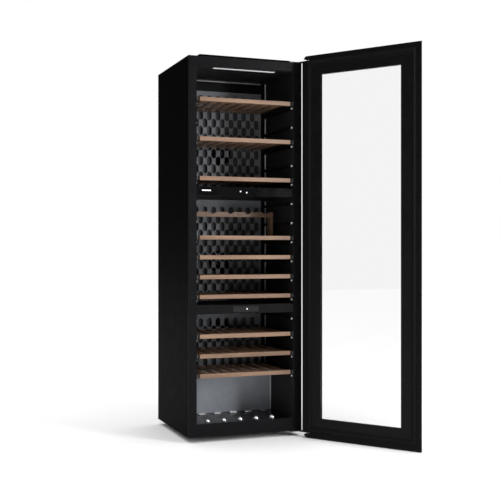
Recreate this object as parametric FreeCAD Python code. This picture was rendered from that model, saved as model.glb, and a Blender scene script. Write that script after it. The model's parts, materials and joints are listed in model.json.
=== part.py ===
import FreeCAD, Part
import math
import os

# Built-in column wine cooler: a tall insulated cabinet with three climate zones,
# ten sliding shelves, a glazed door hinged on the right, and its cooling system.
# Frame: origin on the floor at the middle of the front left foot, +X to the right seen
# from the front, +Y to the back, +Z up. The front plane faces -Y. Millimetres.
# The solids are built about the middle of the cabinet and moved to that origin at export.
# Rest: the door stands open and every shelf is home.

# ---- driving dimensions: cabinet ----
BODY_WIDTH = 553.0
BODY_DEPTH = 518.0
BODY_HEIGHT = 1718.0
FOOT_HEIGHT = 25.0
SKIN = 1.5
LINER = 2.0
CAVITY_WIDTH = 475.0
CEILING_Z = 1703.0
FLOOR_Z = 75.0
SILL_Z = 85.0
LINER_BACK_Y = 205.0
STEP_FRONT_Y = 34.0
STEP_TOP_Z = 285.0
STEP_FOAM = 30.0
FOOT_X = 215.0
FOOT_FRONT_Y = -115.0
FOOT_BACK_Y = 205.0
FOOT_SOLE_RADIUS = 17.0
FOOT_NECK_RADIUS = 14.0
FOOT_PAD_HEIGHT = 8.0
FOOT_STEM_RADIUS = 6.0
TRIM_SPAN_X = (-230.0, 218.0)
TRIM_DEPTH = 32.0
TRIM_RISE = 8.5

# ---- driving dimensions: rear ----
VENT_ROWS = 9
VENT_COLUMNS = 5
VENT_FIRST_X = -200.0
VENT_FIRST_Z = 66.0
VENT_PITCH_X = 74.0
VENT_PITCH_Z = 18.0
VENT_LENGTH = 60.0
VENT_HEIGHT = 6.0
GLAND_X = 225.0
GLAND_Z = 60.0
GLAND_NECK_RADIUS = 8.0
GLAND_FLANGE_RADIUS = 12.0
GLAND_BORE_RADIUS = 4.0
GLAND_DEPTH = 14.0

# ---- driving dimensions: zones and shelves ----
DIVIDER_BOTTOMS = (578.0, 1115.0)
DIVIDER_THICKNESS = 41.0
FASCIA_SETBACK = 3.0
FASCIA_DEPTH = 5.0
INDICATOR_SPAN_X = (-212.0, -170.0)
INDICATOR_RADIUS = 3.0
INDICATOR_RISE = 0.6
LIGHT_HALF_LENGTH = 150.0
LIGHT_Y = (-238.0, -220.0)
LIGHT_DROP = 5.0
LIGHT_WALL = 3.0
AIR_PANEL_Y = 101.0
AIR_PANEL_SHEET = 2.0
AIR_PANEL_HALF_WIDTH = 212.5
AIR_PANEL_PLAIN_BANDS = (44.0, 33.0, 74.4)
HOLE_WIDTH = 24.0
HOLE_HEIGHT = 46.0
HOLE_PITCH = 45.0
HOLE_ROW_PITCH = 37.4
HOLE_SHIFT_X = 8.0
FIRST_ROW_HOLES = (8, 9, 8)
TWO_ROWS_HOLES = 17
DUCT_PLATE_GAP = 12.0
DUCT_PLATE_SHEET = 1.5
BEAD_RADIUS = 4.0
TOP_LEVEL_Z = 1553.0
LEVEL_PITCH = 89.5
LEVELS = 15
SHELF_LEVELS = (0, 2, 4, 7, 8, 9, 10, 12, 13, 14)
STAND_SHELF = 3
STAND_HEIGHT = 121.5
STAND_POST_X = (202.0, 217.0)
STAND_POST_Y = (-51.0, -13.0)
STAND_RAIL_Y = (-44.0, -26.0)
STAND_RAIL_HEIGHT = 23.5
STAND_NOTCHES = 5
STAND_NOTCH_PITCH = 90.0
STAND_NOTCH_RADIUS = 16.0
SHELF_SETBACK = 4.0
SHELF_BACK_Y = 95.0
BAR_DEPTH = 18.0
BAR_BOTTOM = -11.0
BAR_TOP = 8.0
BAR_X = 221.0
WOOD_X = 226.0
STILE_X = 206.0
DECK_BOTTOM = -4.0
DECK_TOP = 3.0
CROSSBAR_Y = 60.0
SLATS = 8
SLAT_PITCH = 51.0
SLAT_WIDTH = 32.0
RUNNER_SHEET = 2.0
RUNNER_DROP = 12.5
LIP_X = 234.0
CAP_X = (231.5, 235.5)
RAIL_X = 230.5
RAIL_FRONT_Y = -233.0
RAIL_BELOW = (27.0, 13.0)
STUD_Y = -240.0
STUD_BELOW = 21.0

# ---- driving dimensions: tray on the cabinet floor ----
TRAY_THICKNESS = 5.0
RESTS = 5
REST_PITCH = 79.0
DOME_RADIUS = 13.0
DOME_Y = -214.0
PAD_SPAN_X = (10.0, 44.0)
PAD_SPAN_Y = (-6.0, 10.0)
PAD_HEIGHT = 6.0

# ---- driving dimensions: cooling system ----
EVAPORATOR_X = 150.0
EVAPORATOR_DEPTH = 36.0
EVAPORATOR_RISE = (16.0, 96.0)
EVAPORATOR_FINS = 30
CONDENSER_X = (-218.0, -178.0)
CONDENSER_HALF_DEPTH = 76.0
CONDENSER_FINS = 14
FIN = 1.5
TUBE_RADIUS = 4.0
FAN_RISE = 190.0
CONDENSER_FAN_X = -174.0
FAN_RADIUS = 54.0
FAN_BORE = 58.0
FAN_CASE = 64.0
FAN_SHAFT = 4.0
FAN_HUB = 18.0
FAN_DEPTH = 40.0
FAN_BLADES = 7
BLADE_PITCH_DEG = 55.0
COMPRESSOR_X = 100.0
COMPRESSOR_RADIUS = 72.0
COMPRESSOR_HEIGHT = 158.0
COMPRESSOR_RISE = 18.0
CONTROL_BOX_X = (-60.0, 10.0)
CONTROL_BOX_DEPTH = 60.0
CONTROL_BOX_RISE = (20.0, 190.0)

# ---- driving dimensions: door ----
DOOR_WIDTH = 595.0
DOOR_BOTTOM_Z = 3.5
DOOR_TOP_Z = 1764.5
DOOR_GAP = 5.0
DOOR_FRAME_DEPTH = 40.0
OUTER_GLASS = 5.0
INNER_GLASS = 4.0
DOOR_SIDE_RAIL = 97.0
DOOR_END_RAIL = 91.0
GRIP_BEVEL = 20.0
GRIP_LIP = 3.0
HINGE_X = 289.6
HINGE_Y = -294.9
PIN_RADIUS = 4.0
PIN_CLEARANCE = 0.05
DOOR_OPEN_DEG = 125.0
REBATE = 20.0
SPACER_DEPTH = 20.0
SPACER_WIDTH = 4.0
GASKET_INSET = 24.0
GASKET_WIDTH = 26.0
GASKET_GAP = 0.4
GROOVE_INSET = 8.0
GROOVE_WIDTH = 14.0
GROOVE_DEPTH = 1.2
CORNER_CUT = 19.0
POCKET_DEPTH_X = 36.0
POCKET_HEIGHT = 10.0
POCKET_OVERLAP = 1.0
PIN_ENGAGEMENT = 18.0
ARM_THICKNESS = 6.0
ARM_HALF_WIDTH = 7.0
BRACKET_X = 222.0
BRACKET_SPAN_Y = (2.0, 60.0)
BUSH_RADIUS = 6.0

# ---- worked out from the above ----
HALF_W = BODY_WIDTH / 2
FRONT_Y = -BODY_DEPTH / 2
BACK_Y = BODY_DEPTH / 2
BODY_Z0 = FOOT_HEIGHT
BODY_Z1 = FOOT_HEIGHT + BODY_HEIGHT
INNER_X = CAVITY_WIDTH / 2
LINER_X = INNER_X + LINER
CORE_X = HALF_W - SKIN
CORE_FRONT = FRONT_Y + SKIN
CORE_BACK = BACK_Y - SKIN
CORE_Z0 = BODY_Z0 + SKIN
CORE_Z1 = BODY_Z1 - SKIN
BAY_FRONT_Y = STEP_FRONT_Y + LINER + STEP_FOAM
BAY_TOP_Z = STEP_TOP_Z - LINER - STEP_FOAM
BAY_MID_Y = (BAY_FRONT_Y + CORE_BACK) / 2
DOOR_INNER_Y = FRONT_Y - DOOR_GAP
DOOR_GLASS_Y = DOOR_INNER_Y - DOOR_FRAME_DEPTH
DOOR_OUTER_Y = DOOR_GLASS_Y - OUTER_GLASS
DOOR_X = DOOR_WIDTH / 2
WINDOW_X = DOOR_X - DOOR_SIDE_RAIL
WINDOW_Z0 = DOOR_BOTTOM_Z + DOOR_END_RAIL
WINDOW_Z1 = DOOR_TOP_Z - DOOR_END_RAIL
INNER_GLASS_Y = DOOR_GLASS_Y + SPACER_DEPTH
FASCIA_FRONT_Y = FRONT_Y + FASCIA_SETBACK
SHELF_FRONT_Y = FRONT_Y + SHELF_SETBACK
TRAY_TOP_Z = FLOOR_Z + TRAY_THICKNESS
FAN_FRONT_Y = AIR_PANEL_Y + AIR_PANEL_SHEET + DUCT_PLATE_GAP + DUCT_PLATE_SHEET
ORIGIN = FreeCAD.Vector(FOOT_X, -FOOT_FRONT_Y, 0.0)


def box(x, y, z):
    """A box from three (low, high) pairs."""
    size = (x[1] - x[0], y[1] - y[0], z[1] - z[0])
    return Part.makeBox(*size, FreeCAD.Vector(x[0], y[0], z[0]))


def rod(start, radius, length, direction=(0, 0, 1)):
    """A cylinder from its start point along a direction."""
    return Part.makeCylinder(radius, length, FreeCAD.Vector(*start), FreeCAD.Vector(*direction))


def ring_box(x, y, z, hole_x, hole_z):
    """A box with a window cut through it along Y."""
    return box(x, y, z).cut(box(hole_x, (y[0] - 1, y[1] + 1), hole_z))


def mirrored(shape):
    """The same solid on the other side of the cabinet's middle plane."""
    return shape.mirror(FreeCAD.Vector(0, 0, 0), FreeCAD.Vector(1, 0, 0))


def both_sides(shapes):
    """Right-hand solids followed by their left-hand mirror images."""
    return shapes + [mirrored(shape) for shape in shapes]


def export(node, shapes):
    """Move a node's solids to the part's origin and write its STEP file."""
    solids = [solid for shape in shapes for solid in shape.Solids]
    shape = solids[0].copy() if len(solids) == 1 else Part.Compound(solids)
    shape.translate(ORIGIN)
    shape.exportStep("parts/" + node + ".step")


def level_z(level):
    """Height of the middle of a shelf's front bar on a level."""
    return TOP_LEVEL_Z - LEVEL_PITCH * level


# ---- cabinet shell ----
def side_panels():
    return both_sides([box((CORE_X, HALF_W), (CORE_FRONT, BACK_Y), (BODY_Z0, BODY_Z1))])


def top_trim():
    """Low strip on top of the cabinet just behind the front edge, with a sloped left end."""
    left, right = TRIM_SPAN_X
    top = BODY_Z1 + TRIM_RISE
    points = [(left, BODY_Z1), (left + 6.0, top), (right, top), (right, BODY_Z1)]
    corners = [FreeCAD.Vector(x, FRONT_Y + 2.0, z) for x, z in points + points[:1]]
    profile = Part.Face(Part.makePolygon(corners))
    return profile.extrude(FreeCAD.Vector(0, TRIM_DEPTH, 0))


def top_panel():
    """The cabinet's top sheet and the strip on it."""
    return [box((-CORE_X, CORE_X), (CORE_FRONT, BACK_Y), (CORE_Z1, BODY_Z1)), top_trim()]


def rear_panel():
    return [box((-CORE_X, CORE_X), (CORE_BACK, BACK_Y), (BAY_TOP_Z, CORE_Z1))]


def base_pan():
    return [box((-CORE_X, CORE_X), (CORE_FRONT, BACK_Y), (BODY_Z0, CORE_Z0))]


def machine_cover():
    """Vented lower rear cover, with a hole for the cable gland."""
    cover = box((-CORE_X, CORE_X), (CORE_BACK, BACK_Y), (CORE_Z0, BAY_TOP_Z))
    slots = []
    for row in range(VENT_ROWS):
        z = VENT_FIRST_Z + VENT_PITCH_Z * row
        for column in range(VENT_COLUMNS):
            x = VENT_FIRST_X + VENT_PITCH_X * column
            slots.append(box((x, x + VENT_LENGTH), (CORE_BACK - 1, BACK_Y + 1), (z, z + VENT_HEIGHT)))
    hole_radius = GLAND_NECK_RADIUS + PIN_CLEARANCE
    gland_hole = rod((GLAND_X, CORE_BACK - 1, GLAND_Z), hole_radius, SKIN + 2, (0, 1, 0))
    return [cover.cut(Part.Compound(slots + [gland_hole]))]


def cable_gland():
    """Strain-relief bush for the supply cord, flush with the rear."""
    start = (GLAND_X, CORE_BACK - GLAND_DEPTH, GLAND_Z)
    neck = rod(start, GLAND_NECK_RADIUS, GLAND_DEPTH + SKIN, (0, 1, 0))
    flange = rod(start, GLAND_FLANGE_RADIUS, GLAND_DEPTH, (0, 1, 0))
    bore = rod(start, GLAND_BORE_RADIUS, GLAND_DEPTH + SKIN, (0, 1, 0))
    return [neck.fuse(flange).cut(bore).removeSplitter()]


def front_frame():
    """The cabinet's front face as four butted strips round the opening."""
    y = (FRONT_Y, CORE_FRONT)
    side = box((INNER_X, HALF_W), y, (BODY_Z0, BODY_Z1))
    head = box((-INNER_X, INNER_X), y, (CEILING_Z, BODY_Z1))
    sill = box((-INNER_X, INNER_X), y, (BODY_Z0, SILL_Z))
    return both_sides([side]) + [head, sill]


def cavity(grow):
    """The stepped space inside the liner, grown outwards by a distance."""
    x = (-INNER_X - grow, INNER_X + grow)
    upper = box(x, (CORE_FRONT, LINER_BACK_Y + grow), (STEP_TOP_Z - grow, CEILING_Z + grow))
    lower = box(x, (CORE_FRONT, STEP_FRONT_Y + grow), (FLOOR_Z - grow, CEILING_Z))
    return upper.fuse(lower).removeSplitter()


def inner_liner():
    return [cavity(LINER).cut(cavity(0.0))]


def foam_insulation():
    """Foam slabs that fill the space between the liner and the outer skin."""
    y = (CORE_FRONT, CORE_BACK)
    side = box((LINER_X, CORE_X), y, (CORE_Z0, CORE_Z1))
    x = (-LINER_X, LINER_X)
    ceiling = box(x, y, (CEILING_Z + LINER, CORE_Z1))
    floor = box(x, (CORE_FRONT, STEP_FRONT_Y + LINER), (CORE_Z0, FLOOR_Z - LINER))
    step_front = box(x, (STEP_FRONT_Y + LINER, BAY_FRONT_Y), (CORE_Z0, BAY_TOP_Z))
    step_top = box(x, (STEP_FRONT_Y + LINER, CORE_BACK), (BAY_TOP_Z, STEP_TOP_Z - LINER))
    back = box(x, (LINER_BACK_Y + LINER, CORE_BACK), (STEP_TOP_Z - LINER, CEILING_Z + LINER))
    return both_sides([side]) + [ceiling, floor, step_front, step_top, back]


def levelling_feet():
    """Four screw feet, set well back under the cabinet."""
    feet = []
    for x in (-FOOT_X, FOOT_X):
        for y in (FOOT_FRONT_Y, FOOT_BACK_Y):
            pad = Part.makeCone(FOOT_SOLE_RADIUS, FOOT_NECK_RADIUS, FOOT_PAD_HEIGHT, FreeCAD.Vector(x, y, 0))
            stem = rod((x, y, FOOT_PAD_HEIGHT), FOOT_STEM_RADIUS, FOOT_HEIGHT - FOOT_PAD_HEIGHT)
            feet.append(pad.fuse(stem))
    return feet


# ---- inside the cavity ----
def zone_dividers():
    dividers = []
    for z in DIVIDER_BOTTOMS:
        y = (FASCIA_FRONT_Y + FASCIA_DEPTH, LINER_BACK_Y)
        dividers.append(box((-INNER_X, INNER_X), y, (z, z + DIVIDER_THICKNESS)))
    return dividers


def control_panels():
    """A gloss fascia on the front of each divider."""
    panels = []
    for z in DIVIDER_BOTTOMS:
        y = (FASCIA_FRONT_Y, FASCIA_FRONT_Y + FASCIA_DEPTH)
        fascia = box((-INNER_X, INNER_X), y, (z, z + DIVIDER_THICKNESS))
        edges = [edge for edge in fascia.Edges if abs(edge.CenterOfMass.y - FASCIA_FRONT_Y) < 0.1]
        panels.append(fascia.makeChamfer(1.0, edges))
    return panels


def control_lights():
    """Indicator bar and round lights, standing just proud of the fascias."""
    y = (FASCIA_FRONT_Y - INDICATOR_RISE, FASCIA_FRONT_Y)
    lower, upper = DIVIDER_BOTTOMS
    bar = box(INDICATOR_SPAN_X, y, (upper + 21.0, upper + 26.0))
    lights = [bar]
    for x, z in ((-27.0, upper + 21.5), (3.0, upper + 17.0), (5.0, lower + 20.5)):
        lights.append(rod((x, y[0], z), INDICATOR_RADIUS, INDICATOR_RISE, (0, 1, 0)))
    return lights


def ceiling_light_housing():
    """A channel under the ceiling that holds the light bar's lens."""
    x = (-LIGHT_HALF_LENGTH, LIGHT_HALF_LENGTH)
    outer_x = (x[0] - LIGHT_WALL, x[1] + LIGHT_WALL)
    outer_y = (LIGHT_Y[0] - LIGHT_WALL, LIGHT_Y[1] + LIGHT_WALL)
    shell = box(outer_x, outer_y, (CEILING_Z - LIGHT_DROP, CEILING_Z))
    seat = box(x, LIGHT_Y, (CEILING_Z - LIGHT_DROP - 1, CEILING_Z - 2))
    return [shell.cut(seat)]


def ceiling_light_lens():
    x = (-LIGHT_HALF_LENGTH, LIGHT_HALF_LENGTH)
    return [box(x, LIGHT_Y, (CEILING_Z - LIGHT_DROP - 1, CEILING_Z - 2))]


def oval_hole(x, z):
    """A tall round-ended hole through the air panel."""
    radius = HOLE_WIDTH / 2
    reach = HOLE_HEIGHT / 2 - radius
    y0, length = AIR_PANEL_Y - 1, AIR_PANEL_SHEET + 2
    middle = box((x - radius, x + radius), (y0, y0 + length), (z - reach, z + reach))
    ends = [rod((x, y0, z + offset), radius, length, (0, 1, 0)) for offset in (-reach, reach)]
    return middle.multiFuse(ends).removeSplitter()


def air_panel(bottom, top, plain_band, first_count):
    """A sheet with staggered rows of oval holes below a plain band."""
    sheet = box((-AIR_PANEL_HALF_WIDTH, AIR_PANEL_HALF_WIDTH), (AIR_PANEL_Y, AIR_PANEL_Y + AIR_PANEL_SHEET),
                (bottom, top))
    holes = []
    first = top - plain_band - HOLE_HEIGHT / 2
    rows = int((first - bottom - HOLE_HEIGHT / 2 - 4) / HOLE_ROW_PITCH) + 1
    for row in range(rows):
        count = first_count if row % 2 == 0 else TWO_ROWS_HOLES - first_count
        for column in range(count):
            x = (column - (count - 1) / 2) * HOLE_PITCH + HOLE_SHIFT_X
            holes.append(oval_hole(x, first - HOLE_ROW_PITCH * row))
    return sheet.cut(Part.Compound(holes))


def zone_spans():
    """(bottom, top) of the perforated back of each zone, lowest first."""
    lower, upper = DIVIDER_BOTTOMS
    return ((STEP_TOP_Z + AIR_PANEL_SHEET, lower), (lower + DIVIDER_THICKNESS, upper),
            (upper + DIVIDER_THICKNESS, CEILING_Z))


def air_panels():
    zones = zip(zone_spans(), AIR_PANEL_PLAIN_BANDS, FIRST_ROW_HOLES)
    return [air_panel(bottom, top, band, count) for (bottom, top), band, count in zones]


def duct_plates():
    """A plain sheet behind each air panel, with an opening for its fan."""
    x = (-AIR_PANEL_HALF_WIDTH, AIR_PANEL_HALF_WIDTH)
    front = AIR_PANEL_Y + AIR_PANEL_SHEET + DUCT_PLATE_GAP
    plates = []
    for bottom, top in zone_spans():
        plate = box(x, (front, front + DUCT_PLATE_SHEET), (bottom, top))
        opening = rod((0, front - 1, bottom + FAN_RISE), FAN_BORE, DUCT_PLATE_SHEET + 2, (0, 1, 0))
        plates.append(plate.cut(opening))
    return plates


def corner_trims():
    """Quarter-round beads in the back corners, with a filler strip behind each."""
    def bead(y, z):
        round_bar = rod((INNER_X, y, z[0]), BEAD_RADIUS, z[1] - z[0])
        return round_bar.common(box((INNER_X - 5, INNER_X), (y - 5, y), z))
    trims = []
    for span in zone_spans():
        filler = box((AIR_PANEL_HALF_WIDTH, INNER_X), (AIR_PANEL_Y, AIR_PANEL_Y + 5), span)
        trims += [bead(AIR_PANEL_Y, span), filler]
    trims.append(bead(STEP_FRONT_Y - AIR_PANEL_SHEET, (TRAY_TOP_Z, STEP_TOP_Z)))
    return both_sides(trims)


def compressor_cover():
    """Plain sheets over the step that makes room for the compressor."""
    x = (-INNER_X, INNER_X)
    front = STEP_FRONT_Y - AIR_PANEL_SHEET
    face = box(x, (front, STEP_FRONT_Y), (TRAY_TOP_Z, STEP_TOP_Z))
    ledge = box(x, (front, AIR_PANEL_Y + 5), (STEP_TOP_Z, STEP_TOP_Z + AIR_PANEL_SHEET))
    return [face, ledge]


def wall_rails():
    """A ledge for every shelf level on both side walls; the lowest one ends at the step."""
    rails = []
    for level in range(LEVELS):
        z = level_z(level)
        low = z - RAIL_BELOW[0]
        back = SHELF_BACK_Y if low > STEP_TOP_Z else STEP_FRONT_Y - AIR_PANEL_SHEET - BEAD_RADIUS - 1
        rail = box((RAIL_X, INNER_X), (RAIL_FRONT_Y, back), (low, z - RAIL_BELOW[1]))
        edges = [edge for edge in rail.Edges if abs(edge.CenterOfMass.x - RAIL_X) < 0.1
                 and edge.Length > 100]
        rails.append(rail.makeChamfer(2.0, edges))
    return both_sides(rails)


def rail_studs():
    """A round guide stud in front of each ledge."""
    studs = []
    for level in range(LEVELS):
        base = (INNER_X, STUD_Y, level_z(level) - STUD_BELOW)
        stem = rod(base, 2.5, 3.0, (-1, 0, 0))
        head = Part.makeCone(5.0, 3.5, 3.0, FreeCAD.Vector(base[0] - 3, base[1], base[2]),
                             FreeCAD.Vector(-1, 0, 0))
        studs.append(stem.fuse(head))
    return both_sides(studs)


def bottle_tray():
    """Flat tray on the floor of the lowest zone."""
    return [box((-INNER_X, INNER_X), (CORE_FRONT, STEP_FRONT_Y), (FLOOR_Z, TRAY_TOP_Z))]


def bottle_rests():
    """Five polished domes in front and five low pads behind, half a pitch across."""
    rests = []
    for index in range(RESTS):
        x = (index - (RESTS - 1) / 2) * REST_PITCH
        dome = Part.makeSphere(DOME_RADIUS, FreeCAD.Vector(x - 14.0, DOME_Y, TRAY_TOP_Z + 5.0))
        keep = box((x - 40, x + 20), (DOME_Y - 20, DOME_Y + 20), (TRAY_TOP_Z, TRAY_TOP_Z + 30))
        rests.append(dome.common(keep))
        top_z = TRAY_TOP_Z + PAD_HEIGHT
        pad = box((x + PAD_SPAN_X[0], x + PAD_SPAN_X[1]), PAD_SPAN_Y, (TRAY_TOP_Z, top_z))
        top = [edge for edge in pad.Edges if abs(edge.CenterOfMass.z - top_z) < 0.1]
        rests.append(pad.makeFillet(3.0, top))
    return rests


# ---- cooling system ----
def finned_block(x, y, z, fins):
    """Thin upright fins threaded on three straight tubes along X."""
    length = x[1] - x[0]
    pieces = []
    for index in range(fins):
        start = x[0] + (length - FIN) * index / (fins - 1)
        pieces.append(box((start, start + FIN), y, z))
    for row in range(3):
        height = z[0] + (z[1] - z[0]) * (row + 0.5) / 3
        pieces.append(rod((x[0], (y[0] + y[1]) / 2, height), TUBE_RADIUS, length, (1, 0, 0)))
    return pieces[0].multiFuse(pieces[1:])


def evaporators():
    """One finned evaporator behind each air panel, on the liner's back wall."""
    x = (-EVAPORATOR_X, EVAPORATOR_X)
    y = (LINER_BACK_Y - EVAPORATOR_DEPTH, LINER_BACK_Y)
    blocks = []
    for bottom, top in zone_spans():
        z = (bottom + EVAPORATOR_RISE[0], bottom + EVAPORATOR_RISE[1])
        blocks.append(finned_block(x, y, z, EVAPORATOR_FINS))
    return blocks


def condenser():
    """Finned condenser in the machine bay, on the base pan."""
    y = (BAY_MID_Y - CONDENSER_HALF_DEPTH, BAY_MID_Y + CONDENSER_HALF_DEPTH)
    return [finned_block(CONDENSER_X, y, (CORE_Z0, CORE_Z0 + 2 * CONDENSER_HALF_DEPTH), CONDENSER_FINS)]


def fan_axes():
    """Start point and direction of each fan's case, evaporator fans first."""
    axes = []
    for bottom, top in zone_spans():
        axes.append(((0.0, FAN_FRONT_Y, bottom + FAN_RISE), (0, 1, 0)))
    axes.append(((CONDENSER_FAN_X, BAY_MID_Y, CORE_Z0 + FAN_CASE), (1, 0, 0)))
    return axes


def placed(shape, start, direction):
    """Move a shape built along +Z so that it starts at a point, along a direction."""
    rotation = FreeCAD.Rotation(FreeCAD.Vector(0, 0, 1), FreeCAD.Vector(*direction))
    shape.Placement = FreeCAD.Placement(FreeCAD.Vector(*start), rotation)
    return shape


def fan_housing(start, direction):
    """Square case with a round throat, a three-arm spider and the rotor's shaft."""
    case = box((-FAN_CASE, FAN_CASE), (-FAN_CASE, FAN_CASE), (0, FAN_DEPTH))
    case = case.cut(rod((0, 0, -1), FAN_BORE, FAN_DEPTH + 2))
    arms = []
    for index in range(3):
        arm = box((0, FAN_BORE + 2), (-3, 3), (FAN_DEPTH - 5, FAN_DEPTH))
        arm.rotate(FreeCAD.Vector(0, 0, 0), FreeCAD.Vector(0, 0, 1), 120.0 * index + 90)
        arms.append(arm)
    motor = rod((0, 0, FAN_DEPTH - 8), 15.0, 8.0)
    shaft = rod((0, 0, 10.0), FAN_SHAFT, FAN_DEPTH - 15.0)
    return placed(case.multiFuse(arms + [motor, shaft]).removeSplitter(), start, direction)


def fan_housings():
    return [fan_housing(start, direction) for start, direction in fan_axes()]


def fan_rotor(start, direction):
    """Hub with a bearing bore and pitched blades."""
    hub = rod((0, 0, 6.0), FAN_HUB, 24.0)
    blades = []
    for index in range(FAN_BLADES):
        blade = box((FAN_HUB - 3, FAN_RADIUS), (-1.0, 1.0), (-13.0, 13.0))
        blade.rotate(FreeCAD.Vector(0, 0, 0), FreeCAD.Vector(1, 0, 0), BLADE_PITCH_DEG)
        blade.rotate(FreeCAD.Vector(0, 0, 0), FreeCAD.Vector(0, 0, 1), 360.0 * index / FAN_BLADES)
        blade.translate(FreeCAD.Vector(0, 0, 18.0))
        blades.append(blade)
    bore = rod((0, 0, 5.0), FAN_SHAFT + PIN_CLEARANCE, 30.0)
    return placed(hub.multiFuse(blades).cut(bore).removeSplitter(), start, direction)


def compressor():
    """Hermetic compressor with a pipe stub, on a base plate with four rubber feet."""
    x, y, z = COMPRESSOR_X, BAY_MID_Y, CORE_Z0 + COMPRESSOR_RISE
    shell = rod((x, y, z), COMPRESSOR_RADIUS, COMPRESSOR_HEIGHT)
    rims = [edge for edge in shell.Edges if edge.Length > 400]
    shell = shell.makeFillet(34.0, rims)
    plate = box((x - 90, x + 90), (y - 70, y + 70), (z - 4, z))
    corners = [(x + dx, y + dy, CORE_Z0) for dx in (-78, 78) for dy in (-56, 56)]
    feet = [rod(corner, 10.0, COMPRESSOR_RISE - 4) for corner in corners]
    stub = rod((x - 40, y, z + 140.0), 4.0, 50.0)
    return [shell.fuse(stub), plate] + feet


def control_box():
    """Closed box of the control electronics, on the bay's front wall."""
    z = (CORE_Z0 + CONTROL_BOX_RISE[0], CORE_Z0 + CONTROL_BOX_RISE[1])
    case = box(CONTROL_BOX_X, (BAY_FRONT_Y, BAY_FRONT_Y + CONTROL_BOX_DEPTH), z)
    return [case.makeFillet(4.0, [edge for edge in case.Edges if edge.Length > 150])]


# ---- shelves ----
def rounded(shape, radius, along_y):
    """Round the long edges of a wooden bar."""
    def keep(edge):
        direction = edge.tangentAt(edge.FirstParameter)
        return abs(direction.y if along_y else direction.x) > 0.9
    return shape.makeFillet(radius, [edge for edge in shape.Edges if keep(edge)])


def shelf_wood(level):
    """Front bar, two stiles, rear crossbar and the slats of one shelf."""
    z = level_z(level)
    deck = (z + DECK_BOTTOM, z + DECK_TOP)
    deck_front = SHELF_FRONT_Y + BAR_DEPTH
    bar = box((-BAR_X, BAR_X), (SHELF_FRONT_Y, deck_front), (z + BAR_BOTTOM, z + BAR_TOP))
    pieces = [rounded(bar, 1.5, False)]
    pieces.append(box((-STILE_X, STILE_X), (CROSSBAR_Y, SHELF_BACK_Y), deck))
    pieces += both_sides([box((STILE_X, WOOD_X), (deck_front, SHELF_BACK_Y), deck)])
    for index in range(SLATS):
        middle = (index - (SLATS - 1) / 2) * SLAT_PITCH
        slat = box((middle - SLAT_WIDTH / 2, middle + SLAT_WIDTH / 2), (deck_front, CROSSBAR_Y), deck)
        pieces.append(rounded(slat, 2.0, True))
    return pieces


def shelf_runners(level):
    """Steel runner with a deck flange and a sliding lip, and the end cap of the front bar."""
    z = level_z(level)
    y = (SHELF_FRONT_Y + 4.0, SHELF_BACK_Y)
    web_x = (WOOD_X, WOOD_X + RUNNER_SHEET)
    bottom = z - RUNNER_DROP
    under = z + DECK_BOTTOM
    web = box(web_x, y, (bottom, z + BAR_TOP - 1))
    flange = box((STILE_X, WOOD_X), (SHELF_FRONT_Y + BAR_DEPTH, SHELF_BACK_Y), (under - RUNNER_SHEET, under))
    lip = box((web_x[1], LIP_X), (RAIL_FRONT_Y, SHELF_BACK_Y), (bottom, bottom + RUNNER_SHEET))
    runner = web.multiFuse([flange, lip]).removeSplitter()
    cap_y = (SHELF_FRONT_Y - 0.5, SHELF_FRONT_Y + 15)
    cap = box(CAP_X, cap_y, (z + BAR_BOTTOM, z + BAR_TOP))
    tab = box((web_x[1], CAP_X[0]), (SHELF_FRONT_Y + 6, SHELF_FRONT_Y + 14), (z - 8.0, z + 6.0))
    return both_sides([runner, cap.fuse(tab)])


def display_stand():
    """Two posts and a scalloped rail that hold bottles up at an angle."""
    deck = level_z(SHELF_LEVELS[STAND_SHELF]) + DECK_TOP
    top = deck + STAND_HEIGHT
    inner_x = STAND_POST_X[0]
    post = box(STAND_POST_X, STAND_POST_Y, (deck, top))
    rail = box((-inner_x, inner_x), STAND_RAIL_Y, (top - STAND_RAIL_HEIGHT, top))
    notches = []
    for index in range(STAND_NOTCHES):
        x = (index - (STAND_NOTCHES - 1) / 2) * STAND_NOTCH_PITCH
        notches.append(rod((x, STAND_RAIL_Y[0] - 1, top + 7.0), STAND_NOTCH_RADIUS, 20.0, (0, 1, 0)))
    return both_sides([post]) + [rail.cut(Part.Compound(notches))]


# ---- door, built closed and then swung open ----
def opened(shapes):
    """Swing door solids from closed to the rest position."""
    for shape in shapes:
        shape.rotate(FreeCAD.Vector(HINGE_X, HINGE_Y, 0), FreeCAD.Vector(0, 0, 1), DOOR_OPEN_DEG)
    return shapes


def door_outline(y, z):
    """A slab of the door's outline, bevelled back along the grip edge."""
    lip_y = DOOR_INNER_Y - GRIP_LIP
    slope = GRIP_BEVEL / (lip_y - DOOR_OUTER_Y)

    def edge_x(at_y):
        return -DOOR_X + max(0.0, (lip_y - at_y) * slope)
    points = [(edge_x(y[0]), y[0]), (DOOR_X, y[0]), (DOOR_X, y[1]), (edge_x(y[1]), y[1])]
    if y[1] > lip_y:
        points.append((-DOOR_X, lip_y))
    corners = [FreeCAD.Vector(px, py, z[0]) for px, py in points + points[:1]]
    return Part.Face(Part.makePolygon(corners)).extrude(FreeCAD.Vector(0, 0, z[1] - z[0]))


def hinge_ends():
    """For the top and bottom hinge: the arm's face on the body, and the way out of the cabinet."""
    return ((BODY_Z1, 1.0), (BODY_Z0, -1.0))


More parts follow.
